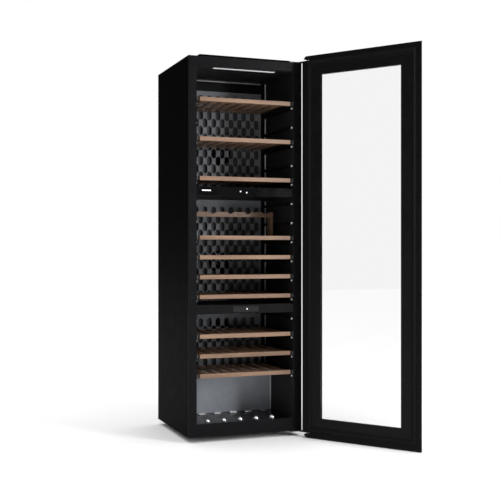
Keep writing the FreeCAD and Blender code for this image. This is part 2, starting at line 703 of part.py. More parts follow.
def door_frame():
    """The door's frame: window, glass rebate, hinge pockets and bush bores."""
    z = (DOOR_BOTTOM_Z, DOOR_TOP_Z)
    frame = door_outline((DOOR_GLASS_Y, DOOR_INNER_Y), z)
    y = (DOOR_GLASS_Y - 1, DOOR_INNER_Y + 1)
    cuts = [box((-WINDOW_X, WINDOW_X), y, (WINDOW_Z0, WINDOW_Z1))]
    rebate_x = (-WINDOW_X - REBATE, WINDOW_X + REBATE)
    rebate_z = (WINDOW_Z0 - REBATE, WINDOW_Z1 + REBATE)
    cuts.append(box(rebate_x, (y[0], INNER_GLASS_Y + INNER_GLASS), rebate_z))
    for face_z, out in hinge_ends():
        pocket_z = sorted((face_z - POCKET_OVERLAP * out, face_z + (POCKET_HEIGHT - POCKET_OVERLAP) * out))
        cuts.append(box((DOOR_X - POCKET_DEPTH_X, DOOR_X + 1), y, pocket_z))
        bore_z = sorted((face_z, face_z - (PIN_ENGAGEMENT + 5.0) * out))
        cuts.append(rod((HINGE_X, HINGE_Y, bore_z[0]), BUSH_RADIUS, bore_z[1] - bore_z[0]))
        end_z = DOOR_TOP_Z if out > 0 else DOOR_BOTTOM_Z
        triangle = [(DOOR_X - CORNER_CUT, end_z + out), (DOOR_X + 1, end_z + out),
                    (DOOR_X + 1, end_z - CORNER_CUT * out)]
        corners = [FreeCAD.Vector(px, y[0], pz) for px, pz in triangle + triangle[:1]]
        cuts.append(Part.Face(Part.makePolygon(corners)).extrude(FreeCAD.Vector(0, y[1] - y[0], 0)))
    cuts.append(door_ring(GROOVE_INSET, GROOVE_WIDTH, (DOOR_INNER_Y - GROOVE_DEPTH, DOOR_INNER_Y + 1)))
    for cut in cuts:
        frame = frame.cut(cut)
    return opened([frame])


def door_ring(inset, width, y):
    """A square ring at a distance from the door's edges."""
    x = (-DOOR_X + inset, DOOR_X - inset)
    z = (DOOR_BOTTOM_Z + inset, DOOR_TOP_Z - inset)
    return ring_box(x, y, z, (x[0] + width, x[1] - width), (z[0] + width, z[1] - width))


def outer_glass():
    pane = door_outline((DOOR_OUTER_Y, DOOR_GLASS_Y), (DOOR_BOTTOM_Z, DOOR_TOP_Z))
    return opened([pane])


def inner_glass():
    x = (-WINDOW_X - REBATE, WINDOW_X + REBATE)
    z = (WINDOW_Z0 - REBATE, WINDOW_Z1 + REBATE)
    return opened([box(x, (INNER_GLASS_Y, INNER_GLASS_Y + INNER_GLASS), z)])


def glazing_spacer():
    x = (-WINDOW_X - REBATE, WINDOW_X + REBATE)
    z = (WINDOW_Z0 - REBATE, WINDOW_Z1 + REBATE)
    y = (DOOR_GLASS_Y, INNER_GLASS_Y)
    hole_x = (x[0] + SPACER_WIDTH, x[1] - SPACER_WIDTH)
    hole_z = (z[0] + SPACER_WIDTH, z[1] - SPACER_WIDTH)
    return opened([ring_box(x, y, z, hole_x, hole_z)])


def door_gasket():
    """Magnetic seal that meets the cabinet's front face."""
    return opened([door_ring(GASKET_INSET, GASKET_WIDTH, (DOOR_INNER_Y, FRONT_Y - GASKET_GAP))])


def hinge_bushes():
    bushes = []
    for face_z, out in hinge_ends():
        top = face_z - POCKET_OVERLAP * out
        z = sorted((top, top - PIN_ENGAGEMENT * out))
        ring = rod((HINGE_X, HINGE_Y, z[0]), BUSH_RADIUS, z[1] - z[0])
        bore = rod((HINGE_X, HINGE_Y, z[0] - 1), PIN_RADIUS + PIN_CLEARANCE, z[1] - z[0] + 2)
        bushes.append(ring.cut(bore))
    return opened(bushes)


def hinge_brackets():
    """Top and bottom plates on the cabinet, each with an arm and a pin for the door."""
    brackets = []
    for face_z, out in hinge_ends():
        z = sorted((face_z, face_z + ARM_THICKNESS * out))
        plate = box((BRACKET_X, HALF_W), (FRONT_Y + BRACKET_SPAN_Y[0], FRONT_Y + BRACKET_SPAN_Y[1]), z)
        start = FreeCAD.Vector(HALF_W - 16.0, FRONT_Y + 12.0, z[0])
        along = FreeCAD.Vector(HINGE_X, HINGE_Y, z[0]) - start
        arm = box((0, along.Length), (-ARM_HALF_WIDTH, ARM_HALF_WIDTH), (0, ARM_THICKNESS))
        turn = math.degrees(math.atan2(along.y, along.x))
        arm.rotate(FreeCAD.Vector(0, 0, 0), FreeCAD.Vector(0, 0, 1), turn)
        arm.translate(start)
        nose = rod((HINGE_X, HINGE_Y, z[0]), ARM_HALF_WIDTH, ARM_THICKNESS)
        pin_z = sorted((face_z + (ARM_THICKNESS + 1.0) * out, face_z - (2.0 + PIN_ENGAGEMENT) * out))
        pin = rod((HINGE_X, HINGE_Y, pin_z[0]), PIN_RADIUS, pin_z[1] - pin_z[0])
        brackets.append(plate.multiFuse([arm, nose, pin]).removeSplitter())
    return brackets


def main():
    os.makedirs("parts", exist_ok=True)
    builders = (side_panels, top_panel, rear_panel, base_pan, machine_cover, cable_gland, front_frame,
                inner_liner, foam_insulation, levelling_feet, zone_dividers, control_panels,
                control_lights, ceiling_light_housing, ceiling_light_lens, air_panels, duct_plates,
                corner_trims, compressor_cover, wall_rails, rail_studs, bottle_tray, bottle_rests, evaporators,
                condenser, fan_housings, compressor, control_box, display_stand, door_frame,
                outer_glass, inner_glass, glazing_spacer, door_gasket, hinge_bushes, hinge_brackets)
    for builder in builders:
        export(builder.__name__, builder())
    for number, level in enumerate(SHELF_LEVELS, start=1):
        export("shelf_%02d_wood" % number, shelf_wood(level))
        export("shelf_%02d_runners" % number, shelf_runners(level))
    fan_names = ("evaporator_fan_lower", "evaporator_fan_middle", "evaporator_fan_upper", "condenser_fan")
    for name, (start, direction) in zip(fan_names, fan_axes()):
        export(name, [fan_rotor(start, direction)])


main()
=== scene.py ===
import bpy
import bmesh
import json
import math
from mathutils import Matrix, Vector


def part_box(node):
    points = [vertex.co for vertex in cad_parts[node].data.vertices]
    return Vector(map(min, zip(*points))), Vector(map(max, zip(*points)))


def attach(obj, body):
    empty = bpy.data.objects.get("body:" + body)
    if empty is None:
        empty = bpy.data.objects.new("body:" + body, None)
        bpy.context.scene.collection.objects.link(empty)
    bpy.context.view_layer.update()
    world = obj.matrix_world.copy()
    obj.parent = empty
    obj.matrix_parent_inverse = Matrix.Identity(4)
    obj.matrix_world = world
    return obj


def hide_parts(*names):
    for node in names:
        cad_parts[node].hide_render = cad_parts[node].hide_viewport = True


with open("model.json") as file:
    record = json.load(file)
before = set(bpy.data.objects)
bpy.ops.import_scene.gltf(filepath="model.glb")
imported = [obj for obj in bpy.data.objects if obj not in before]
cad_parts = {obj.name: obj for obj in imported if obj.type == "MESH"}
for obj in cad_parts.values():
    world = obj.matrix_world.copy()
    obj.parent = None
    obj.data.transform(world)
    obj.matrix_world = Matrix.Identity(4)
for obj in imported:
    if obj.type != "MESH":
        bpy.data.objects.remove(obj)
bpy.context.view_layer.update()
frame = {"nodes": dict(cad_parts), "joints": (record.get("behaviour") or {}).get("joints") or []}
NODES = frame["nodes"]
JOINTS = {joint["name"]: joint for joint in frame["joints"]}
MM = 0.001
BODY_LOW, BODY_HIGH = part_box("side_panels")
MIDDLE = Vector(((BODY_LOW.x + BODY_HIGH.x) / 2, (BODY_LOW.y + BODY_HIGH.y) / 2, 0.0))


def node_box(name):
    """A CAD node's box, measured from the floor under the cabinet's middle."""
    low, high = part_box(name)
    return low - MIDDLE, high - MIDDLE


# ---------------------------------------------------------------- sizes
# Door, its seal and the strips in its groove.
HALF_DOOR = 297.5 * MM
DOOR_Z = tuple(corner.z for corner in node_box("door_frame"))
FRONT_Y = node_box("front_frame")[0].y
DOOR_INNER_Y = FRONT_Y - 5.0 * MM
SEAL_INSET = 24.0 * MM
STRIP_INSET = 8.4 * MM
STRIP_WIDTH = 13.2 * MM
STRIP_THICKNESS = 1.2 * MM
STRIP_SINK = 0.15 * MM
HINGE_POCKET_X = 40.0 * MM
HINGE_POCKET_Z = 30.0 * MM

# Outer cabinet: hinge plates, rear screws and feet.
BODY_HALF = 276.5 * MM
HINGE_SCREWS_X = (44.0 * MM, 24.0 * MM)
HINGE_SCREWS_Y = (22.0 * MM, 46.0 * MM)
HINGE_SCREW_RADIUS = 4.0 * MM
REAR_SCREW_RADIUS = 3.2 * MM
REAR_SCREW_ROWS = 9
REAR_SCREW_EDGE = 12.0 * MM
REAR_SCREW_END = 30.0 * MM
COVER_SCREW_END = 10.0 * MM
SCREW_SINK = 1.15 * MM
FOOT_RADIUS = 17.0 * MM
FOOT_RIBS = 12
FOOT_RIB_REACH = 15.6 * MM

# Dividers and their fascias.
DIVIDER_THICKNESS = 41.0 * MM
WINDOW_HALF = 62.0 * MM
WINDOW_BOTTOM = 8.0 * MM
WINDOW_TOP = 33.0 * MM
TOUCH_MARKS_X = (-20.0 * MM, -13.0 * MM, 13.0 * MM, 20.0 * MM)

# Holes of the air panels. The lists run from the lower zone to the upper one.
HOLE_WIDTH = 24.0 * MM
HOLE_HEIGHT = 46.0 * MM
HOLE_PITCH = 45.0 * MM
HOLE_ROW_PITCH = 37.4 * MM
HOLE_SHIFT_X = 8.0 * MM
HOLE_MARGIN = 4.0 * MM
PLAIN_BANDS = (44.0 * MM, 33.0 * MM, 74.4 * MM)
FIRST_ROW_HOLES = (8, 9, 8)
HOLES_IN_TWO_ROWS = 17
RIM_POINTS = 20
RIM_OFFSET = 0.7 * MM
RIM_RADIUS = 1.1 * MM

# Ceiling, corners and light.
# The dark strip below the ceiling is painted shade: its height and its gap below the ceiling follow the
# header's shadow on the back wall.
SHADOW_STRIP_HEIGHT = 54.0 * MM
SHADOW_STRIP_TOP_GAP = 6.5 * MM
BEAD_RADIUS = 4.2 * MM
LENS_RIBS = 60

# Shelves, and how their wood is cut.
SHELVES = 10
FRONT_BAR_DEPTH = 18.0 * MM
REAR_BAR_START = 315.0 * MM
REAR_BAR_HALF = 206.0 * MM
BOARD_PITCH = 51.0 * MM
LEVEL_PITCH = 44.75 * MM
GRAIN_ALONG = 3.0
GRAIN_ACROSS = 42.0
BOARD_SEED = 3.7
LEVEL_SEED = 1.9
CAP_THICKNESS = 4.2 * MM
CAP_DEPTH = 15.6 * MM

# Floor tray and the faces of its rear rests.
RESTS = 5
REST_PITCH = 79.0 * MM
PAD_HEIGHT = 6.0 * MM
PAD_DEPTH = 16.0 * MM
PAD_LEFT = 12.0 * MM
PAD_RIGHT = 42.0 * MM
PAD_LEAN = 0.3
TRAY_COLUMNS = 120
TRAY_ROWS = 60

# Beads pressed into the rear sheet.
REAR_BEADS = 6
REAR_BEAD_HALF = 11.0 * MM
REAR_BEAD_DEPTH = 1.3 * MM
REAR_BEAD_END = 70.0 * MM
REAR_BEAD_STEPS = 4

# Camera and lights. An area light has a name, a place, a target, a size and a power.
CAMERA_PLACE = (-1.501, -4.276, 0.871)
CAMERA_YAW = -20.72
CAMERA_LENS = 67.34
CAMERA_SENSOR = 36.0
CAMERA_SHIFT = -0.001
AREA_LIGHTS = (
    ("key", (2.5, -3.7, 1.75), (0.0, -0.1, 0.8), (0.9, 2.3), 120),
    ("fill", (-3.0, -2.8, 1.5), (0.0, -0.1, 0.6), (0.7, 1.4), 8),
)
SKY_POWER = 3.4
SKY_ANGLE = 100
ROOM_LIGHT = 0.10
SLANT_MIRROR = 0.85
FLOOR_HALF = 14.0


# ---------------------------------------------------------------- node helpers
def new_material(name):
    """An empty node material with its output and a Principled shader."""
    mat = bpy.data.materials.new(name)
    mat.use_nodes = True
    tree = mat.node_tree
    tree.nodes.clear()
    output = tree.nodes.new("ShaderNodeOutputMaterial")
    shader = tree.nodes.new("ShaderNodeBsdfPrincipled")
    tree.links.new(shader.outputs["BSDF"], output.inputs["Surface"])
    return mat, tree, shader, output


def coordinates(tree, stretch=(1, 1, 1)):
    """Object coordinates, scaled per axis."""
    texco = tree.nodes.new("ShaderNodeTexCoord")
    mapping = tree.nodes.new("ShaderNodeMapping")
    mapping.inputs["Scale"].default_value = stretch
    tree.links.new(texco.outputs["Object"], mapping.inputs["Vector"])
    return mapping.outputs["Vector"]


def noise(tree, vector, scale, detail=4.0, roughness=0.6, distortion=0.0):
    """Fractal noise from 0 to 1."""
    node = tree.nodes.new("ShaderNodeTexNoise")
    node.inputs["Scale"].default_value = scale
    node.inputs["Detail"].default_value = detail
    node.inputs["Roughness"].default_value = roughness
    node.inputs["Distortion"].default_value = distortion
    tree.links.new(vector, node.inputs["Vector"])
    return node.outputs["Fac"]


def ramp(tree, value, stops):
    """A colour ramp from (position, colour) pairs."""
    node = tree.nodes.new("ShaderNodeValToRGB")
    elements = node.color_ramp.elements
    while len(elements) < len(stops):
        elements.new(0.5)
    for element, (position, colour) in zip(elements, stops):
        element.position = position
        element.color = (*colour, 1.0)
    tree.links.new(value, node.inputs["Fac"])
    return node.outputs["Color"]


def map_range(tree, value, low, high, source=(0.3, 0.7)):
    """A value stretched from its source range to low and high."""
    node = tree.nodes.new("ShaderNodeMapRange")
    node.inputs["From Min"].default_value = source[0]
    node.inputs["From Max"].default_value = source[1]
    node.inputs["To Min"].default_value = low
    node.inputs["To Max"].default_value = high
    tree.links.new(value, node.inputs["Value"])
    return node.outputs["Result"]


def math_node(tree, operation, first, second=0.0):
    """One arithmetic step on two values, each a number or a socket."""
    node = tree.nodes.new("ShaderNodeMath")
    node.operation = operation
    for socket, value in zip(node.inputs, (first, second)):
        if isinstance(value, (int, float)):
            socket.default_value = value
        else:
            tree.links.new(value, socket)
    return node.outputs["Value"]


def combine(tree, values):
    """A vector from three sockets."""
    node = tree.nodes.new("ShaderNodeCombineXYZ")
    for socket, value in zip(node.inputs, values):
        tree.links.new(value, socket)
    return node.outputs["Vector"]


def bump(tree, shader, height, strength, distance):
    """Relief from a height value."""
    node = tree.nodes.new("ShaderNodeBump")
    node.inputs["Strength"].default_value = strength
    node.inputs["Distance"].default_value = distance
    tree.links.new(height, node.inputs["Height"])
    tree.links.new(node.outputs["Normal"], shader.inputs["Normal"])


def plain(name, dark, light, rough, grain, stretch=(1, 1, 1), *, bump_scale, bump_strength,
          bump_distance, metallic=0.0, specular=0.5, coat=0.0, emission=None):
    """Painted, moulded or metal surface: blended colour, uneven roughness and a fine relief."""
    mat, tree, shader, _ = new_material(name)
    vector = coordinates(tree, stretch)
    cloud = noise(tree, vector, grain)
    tree.links.new(ramp(tree, cloud, [(0.3, dark), (0.7, light)]), shader.inputs["Base Color"])
    tree.links.new(map_range(tree, cloud, *rough), shader.inputs["Roughness"])
    shader.inputs["Metallic"].default_value = metallic
    shader.inputs["Specular IOR Level"].default_value = specular
    shader.inputs["Coat Weight"].default_value = coat
    shader.inputs["Coat Roughness"].default_value = 0.08
    if emission:
        shader.inputs["Emission Color"].default_value = (*emission[0], 1.0)
        shader.inputs["Emission Strength"].default_value = emission[1]
    bump(tree, shader, noise(tree, vector, bump_scale, 2.0), bump_strength, bump_distance)
    return mat


# ---------------------------------------------------------------- materials
def wood_material(name):
    """Oiled beech: grain along X in the cross bars and along Y in the slats and stiles."""
    mat, tree, shader, _ = new_material(name)
    texco = tree.nodes.new("ShaderNodeTexCoord")
    split = tree.nodes.new("ShaderNodeSeparateXYZ")
    tree.links.new(texco.outputs["Object"], split.inputs["Vector"])
    x, y, z = split.outputs
    x = math_node(tree, "SUBTRACT", x, MIDDLE.x)
    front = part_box("shelf_01_wood")[0].y
    in_front = math_node(tree, "LESS_THAN", y, front + FRONT_BAR_DEPTH)
    behind = math_node(tree, "GREATER_THAN", y, front + REAR_BAR_START)
    inside = math_node(tree, "LESS_THAN", math_node(tree, "ABSOLUTE", x), REAR_BAR_HALF)
    crossways = math_node(tree, "MAXIMUM", in_front, math_node(tree, "MULTIPLY", behind, inside))
    board = math_node(tree, "FLOOR", math_node(tree, "DIVIDE", x, BOARD_PITCH))
    board = math_node(tree, "MULTIPLY", board, math_node(tree, "SUBTRACT", 1.0, crossways))
    level = math_node(tree, "FLOOR", math_node(tree, "DIVIDE", z, LEVEL_PITCH))
    board_part = math_node(tree, "MULTIPLY", board, BOARD_SEED)
    seed = math_node(tree, "ADD", board_part, math_node(tree, "MULTIPLY", level, LEVEL_SEED))
    fine = [math_node(tree, "MULTIPLY", value, GRAIN_ACROSS) for value in (x, y, z)]
    long = [math_node(tree, "MULTIPLY", value, GRAIN_ALONG) for value in (x, y)]
    long = [math_node(tree, "ADD", value, seed) for value in long]
    choose = tree.nodes.new("ShaderNodeMix")
    choose.data_type = "VECTOR"
    tree.links.new(crossways, choose.inputs["Factor"])
    tree.links.new(combine(tree, (fine[0], long[1], fine[2])), choose.inputs[4])
    tree.links.new(combine(tree, (long[0], fine[1], fine[2])), choose.inputs[5])
    figure = noise(tree, choose.outputs[1], 1.2, 3.0, 0.55, 0.6)
    fibres = noise(tree, choose.outputs[1], 9.0, 6.0, 0.7)
    figure_part = math_node(tree, "MULTIPLY", figure, 0.65)
    grain = math_node(tree, "ADD", figure_part, math_node(tree, "MULTIPLY", fibres, 0.35))
    variety = tree.nodes.new("ShaderNodeTexWhiteNoise")
    variety.noise_dimensions = "1D"
    tree.links.new(seed, variety.inputs["W"])
    board_shade = map_range(tree, variety.outputs["Value"], -0.06, 0.06, (0.0, 1.0))
    shade = math_node(tree, "ADD", grain, board_shade)
    stops = [(0.30, (0.140, 0.078, 0.048)), (0.47, (0.232, 0.138, 0.086)), (0.66, (0.305, 0.190, 0.121))]
    tree.links.new(ramp(tree, shade, stops), shader.inputs["Base Color"])
    tree.links.new(map_range(tree, fibres, 0.30, 0.48), shader.inputs["Roughness"])
    shader.inputs["Specular IOR Level"].default_value = 0.4
    bump(tree, shader, fibres, 0.25, 0.0003)
    return mat


def glass_material(name, tint):
    """A clear pane that passes light straight through and mirrors at a slant."""
    mat, tree, shader, output = new_material(name)
    tree.nodes.remove(shader)
    clear = tree.nodes.new("ShaderNodeBsdfTransparent")
    clear.inputs["Color"].default_value = (*tint, 1.0)
    gloss = tree.nodes.new("ShaderNodeBsdfGlossy")
    smear = noise(tree, coordinates(tree), 5.0, 3.0)
    tree.links.new(map_range(tree, smear, 0.01, 0.05), gloss.inputs["Roughness"])
    layer = tree.nodes.new("ShaderNodeLayerWeight")
    slant = math_node(tree, "POWER", layer.outputs["Facing"], 5.0)
    mirror = math_node(tree, "MULTIPLY", slant, SLANT_MIRROR)
    mix = tree.nodes.new("ShaderNodeMixShader")
    tree.links.new(mirror, mix.inputs["Fac"])
    tree.links.new(clear.outputs["BSDF"], mix.inputs[1])
    tree.links.new(gloss.outputs["BSDF"], mix.inputs[2])
    tree.links.new(mix.outputs["Shader"], output.inputs["Surface"])
    return mat


MATERIALS = {
    "skin": plain("black_powder_coat", (0.0012, 0.0012, 0.0014), (0.0018, 0.0018, 0.002), (0.42, 0.5), 18.0,
                  specular=0.005, bump_scale=1500.0, bump_strength=0.08, bump_distance=0.00005),
    "face": plain("black_satin_face", (0.0035, 0.0035, 0.0043), (0.0048, 0.0048, 0.0058), (0.34, 0.44), 22.0,
                  specular=0.08, bump_scale=1300.0, bump_strength=0.1, bump_distance=0.00005),
    "liner": plain("black_liner_plastic", (0.012, 0.012, 0.0127), (0.018, 0.018, 0.019), (0.34, 0.46), 30.0,
                   specular=0.16, bump_scale=1100.0, bump_strength=0.15, bump_distance=0.00008),
    "rear": plain("zinc_rear_sheet", (0.075, 0.078, 0.082), (0.13, 0.134, 0.14), (0.36, 0.52), 46.0,
                  metallic=0.35, bump_scale=260.0, bump_strength=0.08, bump_distance=0.0002),
    "rail": plain("black_rail_plastic", (0.003, 0.003, 0.0035), (0.005, 0.005, 0.0055), (0.38, 0.5), 45.0,
                  specular=0.12, bump_scale=1300.0, bump_strength=0.15, bump_distance=0.00006),
    "air_panel": plain("grey_air_panel", (0.23, 0.245, 0.268), (0.28, 0.297, 0.325), (0.34, 0.48), 35.0,
                       specular=0.35, bump_scale=1400.0, bump_strength=0.2, bump_distance=0.00008),
    "duct": plain("dark_duct_plate", (0.060, 0.062, 0.068), (0.085, 0.088, 0.096), (0.4, 0.5), 45.0,
                  specular=0.3, bump_scale=900.0, bump_strength=0.1, bump_distance=0.00008),
    "bead": plain("satin_metal_bead", (0.80, 0.82, 0.84), (0.92, 0.94, 0.96), (0.34, 0.46), 90.0,
                  (1, 1, 0.05), metallic=0.1, bump_scale=800.0, bump_strength=0.08, bump_distance=0.00004),
    "stud": plain("satin_nickel_stud", (0.80, 0.80, 0.79), (0.93, 0.93, 0.92), (0.25, 0.4), 200.0,
                  metallic=0.2, bump_scale=900.0, bump_strength=0.06, bump_distance=0.00004),
    "step": plain("grey_step_cover", (0.37, 0.40, 0.45), (0.44, 0.475, 0.53), (0.30, 0.42), 25.0,
                  specular=0.35, bump_scale=1400.0, bump_strength=0.15, bump_distance=0.00006),
    "gloss": plain("black_gloss_fascia", (0.003, 0.003, 0.0035), (0.0045, 0.0045, 0.0052), (0.10, 0.18), 14.0,
                   specular=0.12, bump_scale=90.0, bump_strength=0.03, bump_distance=0.0001, coat=0.03),
    "window": plain("smoked_display_window", (0.002, 0.002, 0.0025), (0.003, 0.003, 0.0035), (0.05, 0.1),
                    10.0, specular=0.4, bump_scale=60.0, bump_strength=0.02, bump_distance=0.0001),
    "mark": plain("printed_touch_marks", (0.02, 0.02, 0.021), (0.028, 0.028, 0.03), (0.3, 0.4), 300.0,
                  specular=0.3, bump_scale=900.0, bump_strength=0.05, bump_distance=0.00003),
    "runner": plain("black_runner_steel", (0.004, 0.004, 0.0045), (0.008, 0.008, 0.009), (0.32, 0.5), 60.0,
                    specular=0.3, bump_scale=1600.0, bump_strength=0.2, bump_distance=0.00006),
    "cap": plain("grey_end_cap", (0.085, 0.080, 0.075), (0.125, 0.118, 0.11), (0.38, 0.5), 240.0, (1, 1, 0.1),
                 metallic=0.2, bump_scale=900.0, bump_strength=0.12, bump_distance=0.00005),
    "steel": plain("brushed_steel", (0.36, 0.365, 0.37), (0.55, 0.555, 0.56), (0.24, 0.4), 260.0,
                   (1, 1, 0.04), metallic=1.0, bump_scale=700.0, bump_strength=0.15, bump_distance=0.00005),
    "dark_steel": plain("dark_steel", (0.03, 0.03, 0.032), (0.06, 0.06, 0.064), (0.3, 0.5), 140.0,
                        metallic=0.8, bump_scale=900.0, bump_strength=0.15, bump_distance=0.00006),
    "chrome": plain("polished_chrome", (0.82, 0.83, 0.85), (0.92, 0.93, 0.95), (0.16, 0.24), 80.0,
                    metallic=0.85, bump_scale=250.0, bump_strength=0.02, bump_distance=0.0001),
    "rubber": plain("black_rubber", (0.0025, 0.0025, 0.003), (0.0045, 0.0045, 0.005), (0.45, 0.6), 45.0,
                    specular=0.12, bump_scale=1700.0, bump_strength=0.3, bump_distance=0.0001),
    "frame": plain("black_door_frame", (0.0028, 0.0028, 0.0033), (0.0045, 0.0045, 0.005), (0.34, 0.44), 20.0,
                   specular=0.12, bump_scale=1500.0, bump_strength=0.2, bump_distance=0.00006),
    "frit": plain("black_ceramic_print", (0.002, 0.002, 0.0022), (0.0032, 0.0032, 0.0035), (0.25, 0.35), 40.0,
                  specular=0.4, bump_scale=900.0, bump_strength=0.05, bump_distance=0.00005),
    "foam": plain("yellow_foam", (0.55, 0.46, 0.22), (0.72, 0.62, 0.33), (0.7, 0.9), 200.0,
                  bump_scale=500.0, bump_strength=0.5, bump_distance=0.0005),
    "fan": plain("black_fan_plastic", (0.010, 0.010, 0.011), (0.018, 0.018, 0.02), (0.35, 0.5), 60.0,
                 bump_scale=1200.0, bump_strength=0.2, bump_distance=0.0001),
    "compressor": plain("black_compressor_paint", (0.006, 0.006, 0.007), (0.012, 0.012, 0.013), (0.2, 0.4),
                        40.0, bump_scale=300.0, bump_strength=0.15, bump_distance=0.0002, coat=0.3),
    "lens": plain("frosted_light_lens", (0.55, 0.56, 0.58), (0.66, 0.67, 0.69), (0.3, 0.45), 120.0,
                  bump_scale=600.0, bump_strength=0.1, bump_distance=0.0001,
                  emission=((0.95, 0.97, 1.0), 0.28)),
    "light": plain("indicator_light", (0.7, 0.72, 0.75), (0.85, 0.87, 0.9), (0.2, 0.35), 200.0,
                   bump_scale=400.0, bump_strength=0.05, bump_distance=0.0001,
                   emission=((0.92, 0.96, 1.0), 0.8)),
    "base": plain("galvanised_base", (0.20, 0.205, 0.21), (0.40, 0.405, 0.41), (0.35, 0.55), 55.0,
                  metallic=0.9, bump_scale=400.0, bump_strength=0.15, bump_distance=0.0001),
    "wood": wood_material("oiled_beech"),
    "glass_outer": glass_material("outer_pane_glass", (0.970, 0.970, 0.970)),
    "glass_inner": glass_material("inner_pane_glass", (0.978, 0.978, 0.978)),
    "fins": plain("aluminium_fins", (0.42, 0.43, 0.45), (0.72, 0.73, 0.75), (0.22, 0.4), 300.0,
                  (1, 0.05, 1), metallic=1.0, bump_scale=900.0, bump_strength=0.15, bump_distance=0.0001),
}


NODE_MATERIALS = {
    "side_panels": "skin", "top_panel": "skin", "rear_panel": "rear", "base_pan": "base",
    "machine_cover": "rear", "cable_gland": "rubber", "front_frame": "face", "inner_liner": "liner",
    "foam_insulation": "foam", "levelling_feet": "rubber", "duct_plates": "duct", "zone_dividers": "rail",
    "control_panels": "gloss", "control_lights": "light", "ceiling_light_housing": "liner",
    "ceiling_light_lens": "lens", "air_panels": "air_panel", "corner_trims": "rail",
    "compressor_cover": "step", "wall_rails": "rail", "rail_studs": "stud", "bottle_tray": "gloss",
    "bottle_rests": "chrome", "evaporators": "fins", "condenser": "fins", "fan_housings": "fan",
    "compressor": "compressor", "control_box": "liner", "display_stand": "wood", "door_frame": "frame",
    "outer_glass": "glass_outer", "inner_glass": "glass_inner", "glazing_spacer": "frit",
    "door_gasket": "rubber", "hinge_bushes": "steel", "hinge_brackets": "dark_steel",
}


def give(obj, key):
    """Set an object's only material."""
    obj.data.materials.clear()
    obj.data.materials.append(MATERIALS[key])


def dress_cad_nodes():
    """Give every CAD node its material."""
    for name, obj in NODES.items():
        if name.endswith("_wood"):
            give(obj, "wood")
        elif name.endswith("_runners"):
            give(obj, "runner")
        elif "fan" in name and name not in NODE_MATERIALS:
            give(obj, "fan")
        else:
            give(obj, NODE_MATERIALS[name])


def bevel_cad(names, width):
    """Ease the sharp edges of some CAD nodes."""
    for name in names:
        modifier = NODES[name].modifiers.new("soft_edges", "BEVEL")
        modifier.width = width
        modifier.segments = 2
        modifier.limit_method = "ANGLE"
        modifier.angle_limit = math.radians(50)


# ---------------------------------------------------------------- mesh helpers
def piece_from(bm, name, key, body, smooth=False):
    """Turn a bmesh into a finished piece that rides on a body."""
    mesh = bpy.data.meshes.new(name)
    bmesh.ops.translate(bm, vec=MIDDLE, verts=bm.verts)
    bmesh.ops.recalc_face_normals(bm, faces=bm.faces)
    bm.to_mesh(mesh)
    bm.free()
    for polygon in mesh.polygons:
        polygon.use_smooth = smooth
    obj = bpy.data.objects.new(name, mesh)
    bpy.context.scene.collection.objects.link(obj)
    obj.data.materials.append(MATERIALS[key])
    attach(obj, body)
    return obj


def add_box(bm, low, high):
    """A closed box between two corners."""
    centre = (Vector(low) + Vector(high)) / 2
    size = Vector(high) - Vector(low)
    matrix = Matrix.Translation(centre) @ Matrix.Diagonal((*size, 1.0))
    return bmesh.ops.create_cube(bm, size=1.0, matrix=matrix)["verts"]


def rounded_box(bm, low, high, radius, segments=2):
    """A box with all its edges rounded."""
    corners = add_box(bm, low, high)
    edges = {edge for vert in corners for edge in vert.link_edges}
    rounded = bmesh.ops.bevel(bm, geom=list(edges), offset=radius, segments=segments, affect="EDGES")
    return {vert for face in rounded["faces"] for vert in face.verts}


def bridge(bm, first, second):
    """Faces between two closed rings of vertices."""
    for step in range(len(first)):
        after = (step + 1) % len(first)
        bm.faces.new((first[step], first[after], second[after], second[step]))


def add_lathe(bm, centre, axis, profile, segments):
    """A turned solid: profile is (radius, distance along the axis) pairs from end to end."""
    turn = Vector((0, 0, 1)).rotation_difference(Vector(axis)).to_matrix()
    rings = []
    for radius, height in profile:
        ring = []
        for step in range(segments):
            angle = 2 * math.pi * step / segments
            point = Vector((radius * math.cos(angle), radius * math.sin(angle), height))
            ring.append(bm.verts.new(Vector(centre) + turn @ point))
        rings.append(ring)
    for first, second in zip(rings, rings[1:]):
        bridge(bm, first, second)
    bm.faces.new(list(reversed(rings[0])))
    bm.faces.new(rings[-1])


def add_bar(bm, start, axis, length, radius):
    """A round bar with eased ends."""
    ease = 0.4 * radius
    profile = [(radius - ease, 0), (radius, ease), (radius, length - ease), (radius - ease, length)]
    add_lathe(bm, start, axis, profile, 16)


def add_loop_tube(bm, points, radius, segments):
    """A round tube along a closed loop of points that faces along Y."""
    rings = []
    for index, point in enumerate(points):
        ahead = points[(index + 1) % len(points)]
        tangent = (ahead - points[index - 1]).normalized()
        side = tangent.cross(Vector((0, 1, 0))).normalized()
        up = tangent.cross(side)
        ring = []
        for step in range(segments):
            angle = 2 * math.pi * step / segments
            ring.append(bm.verts.new(point + radius * (math.cos(angle) * side + math.sin(angle) * up)))
        rings.append(ring)
    for first, second in zip(rings, rings[1:] + rings[:1]):
        bridge(bm, first, second)


def frame_profile(bm, x, z, y, profile):
    """Sweep a closed (inset, depth) profile round a mitred rectangle in the XZ plane."""
    corners = ((x[0], z[0], 1, 1), (x[1], z[0], -1, 1), (x[1], z[1], -1, -1), (x[0], z[1], 1, -1))
    rings = []
    for corner_x, corner_z, side_x, side_z in corners:
        rings.append([bm.verts.new((corner_x + side_x * inset, y + depth, corner_z + side_z * inset))
                      for inset, depth in profile])
    for first, second in zip(rings, rings[1:] + rings[:1]):
        bridge(bm, first, second)


def grid_faces(bm, grid):
    """Faces between neighbouring rows of vertices."""
    for row, above in zip(grid, grid[1:]):
        for column in range(len(row) - 1):
            bm.faces.new((row[column], row[column + 1], above[column + 1], above[column]))


